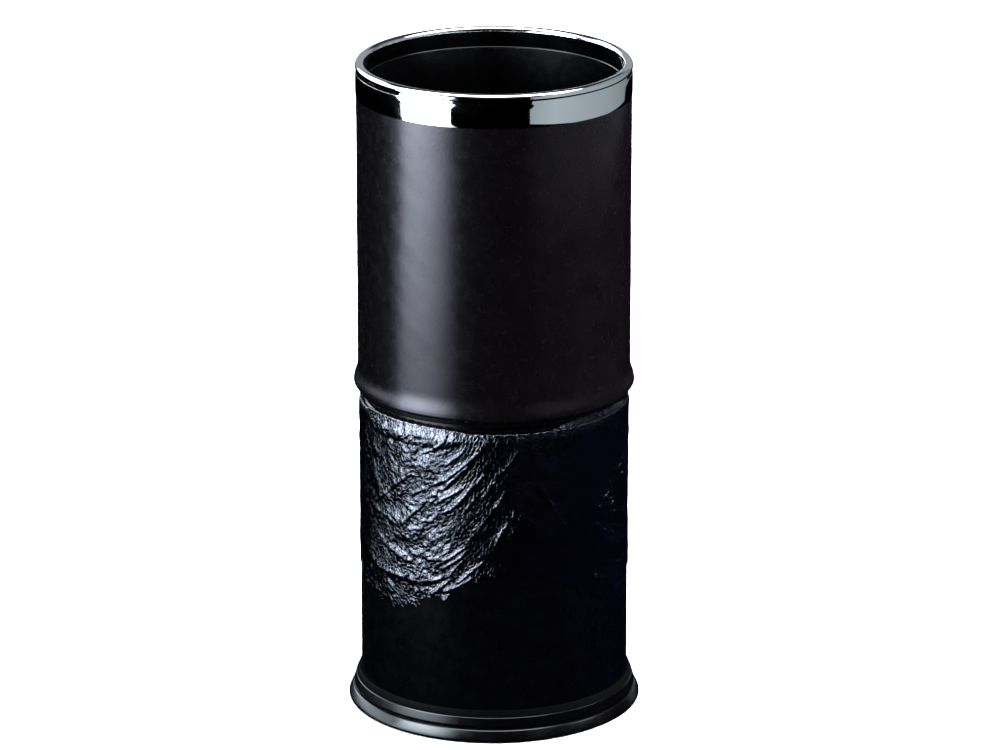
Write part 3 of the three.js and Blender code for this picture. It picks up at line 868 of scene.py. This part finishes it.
def crumpled_cuff():
    """The cuff with its roll, tucks and creases, pressed flatter against the bucket's sides."""
    rng = np.random.default_rng(20)
    points = finer(smooth_cuff(90, 360))
    front = wrapped(np.arctan2(points[..., 1], points[..., 0]) - FRONT)
    height = points[..., 2]
    roll, slant = rim_roll(front, height), climb(front)
    # From here on the relief is in mm.
    calm = 1 - 0.82 * np.clip((from_swag(front) - 0.2) / 0.3, 0, 1)  # fewer facets between swags
    patch = (0.8 + 0.5 * lumps(rng, front, height, 26 * MM)) * calm
    lift = 0.9 + 1.9 * roll + 2.4 * long_folds(rng, front, height)
    lift += 1.2 * facets(rng, front, height, 24 * MM, slant) * (0.5 + 0.5 * calm)
    lift += 1.0 * facets(rng, front, height, 12 * MM, slant) * (1 - 0.5 * roll) * calm
    lift -= 1.2 * np.abs(facets(rng, front, height, 8 * MM, slant)) * patch
    lift -= 1.2 * np.abs(facets(rng, front, height, 4.4 * MM, slant)) * patch
    lift += 0.7 * facets(rng, front, height, 2.9 * MM, slant) * patch
    lift *= 0.2 + 0.8 * np.abs(np.cos(front)) ** 0.8
    lift *= np.clip((RIM_TOP + 0.8 * MM - height) / (2.5 * MM), 0.1, 1)  # calm over the rim
    lift += rim_rays(rng, front, height)
    scale = 1 + lift * MM / np.hypot(points[..., 0], points[..., 1])
    return clear_of_bucket(points * np.stack([scale, scale, np.ones_like(scale)], axis=-1))


def bag_inside(top_row):
    """The film inside the bucket, from the middle of the floor up to the rim's inner edge."""
    rng = np.random.default_rng(5)
    columns = top_row.shape[0]
    azimuth = np.arctan2(top_row[:, 1], top_row[:, 0])
    wall_r = SHELL_R - 4.4 * MM
    floor_z = FLOOR_TOP + 0.9 * MM
    profile = [(r * MM, floor_z) for r in (6, 18, 32, 46, 60, 72, 84, 94, 102)]
    profile += arc((wall_r - 14 * MM, floor_z + 14 * MM), 14 * MM, -80, 0, 7)
    profile += [(wall_r, z) for z in np.linspace(floor_z + 18 * MM, COLLAR_BOTTOM - 14 * MM, 34)]
    profile += [(wall_r, z) for z in np.linspace(COLLAR_BOTTOM - 8 * MM, CURL_C[1] - 6.5 * MM, 7)]
    profile = np.array(profile)
    radius = np.repeat(profile[:, :1], columns, axis=1)
    height = np.repeat(profile[:, 1:], columns, axis=1)
    spread = np.clip((radius - 20 * MM) / (60 * MM), 0, 1)
    free = np.clip((COLLAR_BOTTOM - 6 * MM - height) / (30 * MM), 0, 1)
    around = np.broadcast_to(azimuth, radius.shape)
    sag = sum(amount * lumps(rng, around, height, size * MM)
              for size, amount in ((90, 2.2), (40, 1.4), (17, 0.7), (8, 0.35)))
    on_wall = np.clip((height - floor_z - 4 * MM) / (14 * MM), 0, 1)
    radius = radius - np.abs(sag) * MM * 1.4 * spread * free * on_wall
    height = height + np.abs(sag) * MM * 0.9 * spread * (1 - on_wall)
    return np.stack([radius * np.cos(around), radius * np.sin(around), height], axis=-1)


def liner_bag():
    """The whole bag as one open sheet, from the middle of its bottom to the cuff's ragged edge."""
    cuff = crumpled_cuff()
    inside = bag_inside(cuff[0])
    points = np.concatenate([inside, cuff])
    columns = points.shape[1]
    faces = grid_faces(len(points), columns, wrap=True, flip=True).tolist()
    verts = points.reshape(-1, 3).tolist()
    verts.append((0, 0, inside[0, 0, 2]))
    faces += [(len(verts) - 1, i, (i + 1) % columns) for i in range(columns)]
    mesh = bpy.data.meshes.new("liner_bag_film")
    mesh.from_pydata(verts, [], faces)
    mesh.polygons.foreach_set("use_smooth", np.ones(len(mesh.polygons), bool))
    bag = link("liner_bag_film", mesh)
    place(bag, "bag_film", "lower_section", ["liner_bag"])
    return bag


# ---- stage ----------------------------------------------------------------------------------

def floor():
    """A pale floor."""
    size = 9.0
    mesh = bpy.data.meshes.new("floor")
    mesh.from_pydata([(-size, -size, 0), (size, -size, 0), (size, size, 0), (-size, size, 0)],
                     [], [(0, 1, 2, 3)])
    plane = link("floor", mesh)
    n = Nodes("floor", (0.93, 0.93, 0.93), 0.85, Specular_IOR_Level=0.1)
    plane.data.materials.append(n.mat)
    plane.visible_glossy = False  # the black pieces don't mirror the pale floor


def above(sky, value, edge, softness):
    """0 below the edge, 1 above it, smooth over the softness, all in degrees."""
    inputs = {"Value": value, "From Min": edge - softness / 2, "From Max": edge + softness / 2}
    return sky.add("ShaderNodeMapRange", inputs, interpolation_type="SMOOTHSTEP").outputs["Result"]


def panels(sky):
    """The soft boxes: the ranges of angles that each lies in, its softness and its colour."""
    direction = sky.add("ShaderNodeTexCoord").outputs["Generated"]
    x, y, z = sky.add("ShaderNodeSeparateXYZ", {0: direction}).outputs
    # Azimuth from the camera's side: 0 towards the camera, +90 to its right, +-180 behind.
    azimuth = sky.math("DEGREES", sky.math("ARCTAN2", x, sky.math("MULTIPLY", y, -1.0)))
    behind = sky.math("ABSOLUTE", azimuth)
    elevation = sky.math("DEGREES", sky.math("ARCSINE", z))
    # Leans from straight up: positive to the back, and positive to the right.
    back_lean = sky.math("DEGREES", sky.math("ARCTAN2", y, z))
    side_lean = sky.math("DEGREES", sky.math("ARCTAN2", x, z))
    return [
        ([(back_lean, -22, 14), (side_lean, -60, 62)], 6, (9.0, 9.3, 9.8)),
        ([(elevation, 30, 62)], 10, (0.04, 0.04, 0.045)),
        ([(azimuth, -150, -88), (elevation, 3, 38)], 10, (4.0, 4.6, 5.2)),
        ([(behind, 135, 400), (elevation, -4, 24)], 8, (0.32, 0.34, 0.36)),
    ]


def studio():
    """A white room for the camera and, for everything else, soft boxes by direction."""
    world = bpy.data.worlds.new("studio")
    bpy.context.scene.world = world
    world.use_nodes = True
    sky = NodeTree(world.node_tree)
    sky.tree.nodes.clear()
    total = (0, 0, 0)
    for ranges, soft, color in panels(sky):
        mask = 1.0
        for value, low, high in ranges:
            within = sky.math("SUBTRACT", above(sky, value, low, soft), above(sky, value, high, soft))
            mask = sky.math("MULTIPLY", within, mask)
        lit = sky.add("ShaderNodeVectorMath", {0: color, "Scale": mask}, operation="SCALE")
        both = sky.add("ShaderNodeVectorMath", {0: total, 1: lit.outputs[0]}, operation="ADD")
        total = both.outputs[0]
    boxes = sky.add("ShaderNodeBackground", {"Color": total}).outputs[0]
    white = sky.add("ShaderNodeBackground", {"Color": (1, 1, 1, 1)}).outputs[0]
    seen = sky.add("ShaderNodeLightPath").outputs["Is Camera Ray"]
    mixed = sky.add("ShaderNodeMixShader", {0: seen, 1: boxes, 2: white}).outputs[0]
    sky.add("ShaderNodeOutputWorld", {"Surface": mixed})


def soft_light(name, location, target, size, power):
    """A rectangular light that fills in and isn't mirrored by the black pieces."""
    data = bpy.data.lights.new(name, "AREA")
    data.shape = "RECTANGLE"
    data.size, data.size_y = size
    data.energy = power
    light = bpy.data.objects.new(name, data)
    bpy.context.scene.collection.objects.link(light)
    light.location = location
    light.visible_camera = False
    light.visible_glossy = False
    light.rotation_euler = (Vector(target) - Vector(location)).to_track_quat("-Z", "Y").to_euler()
    return light


def film_lights(bag):
    """Two small lights that only the film mirrors, along its rim under the sleeve."""
    receivers = bpy.data.collections.new("film_only")
    receivers.objects.link(bag)
    rim = (0, 0, RIM_TOP)
    for light in (soft_light("rim_front", (0.2, -1.0, 1.5), rim, (1.2, 0.7), 18),
                  soft_light("rim_right", (1.24, 0.22, 1.1), rim, (1.2, 0.9), 30)):
        light.visible_glossy = True
        light.light_linking.receiver_collection = receivers


def bowed_panel(name, start, end):
    """A standing panel between two ends, each given as x, y, bottom and top. Its sides bow in."""
    shares = np.linspace(0, 1, 25)
    insets = 0.08 * np.minimum(((shares - 0.38) / 0.24) ** 2, 1)
    along = np.array(end[:2]) - np.array(start[:2])
    along = along / np.linalg.norm(along)
    rows = []
    for share, inset in zip(shares, insets):
        left = (*(start[:2] - along * inset), start[2] + share * (start[3] - start[2]))
        right = (*(end[:2] + along * inset), end[2] + share * (end[3] - end[2]))
        rows.append([left, right])
    return link(name, mesh_from(name, np.array(rows), grid_faces(len(rows), 2, wrap=False)))


def soft_box(name, start, end, color, across, up):
    """A glowing panel that only shows in reflections.

    across and up are the stops of its brightness from start to end and from the bottom up.
    """
    panel = bowed_panel(name, start, end)
    n = Nodes(name, (0, 0, 0), 1.0)
    place_on = n.add("ShaderNodeTexCoord").outputs["Generated"]
    split = n.add("ShaderNodeSeparateXYZ", {"Vector": place_on}).outputs
    strength = n.math("MULTIPLY", n.ramp(split["Y"], across), n.ramp(split["Z"], up))
    glow = n.add("ShaderNodeEmission", {"Color": (*color, 1), "Strength": strength})
    n.tree.links.new(glow.outputs[0], n.tree.nodes["Material Output"].inputs["Surface"])
    panel.data.materials.append(n.mat)
    panel.visible_camera = False
    panel.visible_shadow = False
    panel.visible_diffuse = False


CAMERA_DISTANCE = 5.1135
CAMERA_HEIGHT = 1.9486
CAMERA_ASIDE = 0.0054
CAMERA_PITCH = 17.793
CAMERA_LENS = 212.46


def camera():
    """A long lens that looks down on the stand at the photograph's angle."""
    data = bpy.data.cameras.new("camera")
    data.sensor_width = 36
    data.lens = CAMERA_LENS
    data.clip_end = 60
    cam = bpy.data.objects.new("camera", data)
    bpy.context.scene.collection.objects.link(cam)
    cam.location = (CAMERA_ASIDE, -CAMERA_DISTANCE, CAMERA_HEIGHT)
    cam.rotation_euler = (math.radians(90 - CAMERA_PITCH), 0, 0)
    bpy.context.scene.camera = cam


camera()
studio()
floor()
soft_light("overhead", (0.0, -0.3, 3.0), (0, 0, 0), (6, 6), 220)
soft_light("side_fill", (2.0, 0.3, 0.9), (0, 0, 0.4), (1, 1), 300)
soft_box("left_box", (-0.511, -0.764, 0, 0.85), (-0.875, -0.203, 0, 0.85), (32.5, 37.3, 41.5),
         [(0.0, 0.012), (0.08, 0.1), (0.2, 0.38), (0.4, 0.8), (0.6, 1.0), (0.85, 0.85), (1.0, 0.7)],
         [(0.0, 0.10), (0.12, 0.2), (0.35, 0.5), (0.6, 1.0)])
soft_box("right_card", (0.45, -0.77, 0.30, 0.9), (0.45, 0.55, 0.48, 1.1), (0.42, 0.48, 0.52),
         [(0.0, 0.75), (0.3, 1.0), (0.55, 0.8), (1.0, 0.3)], [(0.0, 1.0), (1.0, 1.0)])
bpy.context.scene.view_settings.view_transform = "Standard"

chrome_ring()
upper_liner()
leather_wrap()
seam_stitches()
sleeve_tube()
collar_rivets()
neck_collar()
bucket_shell()
base_ring()
base_screws()
film_lights(liner_bag())

# CAD nodes that stay as they are, each with its material.
CARRIED = {f"foot_pad_{number}": "rubber" for number in range(1, 5)}
CARRIED |= {"base_cover": "black_plastic", "ballast_disc": "bare_steel", "bucket_floor": "black_steel"}
for node, material in CARRIED.items():
    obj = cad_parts[node]
    obj.data.materials.clear()
    obj.data.materials.append(MATERIALS[material])
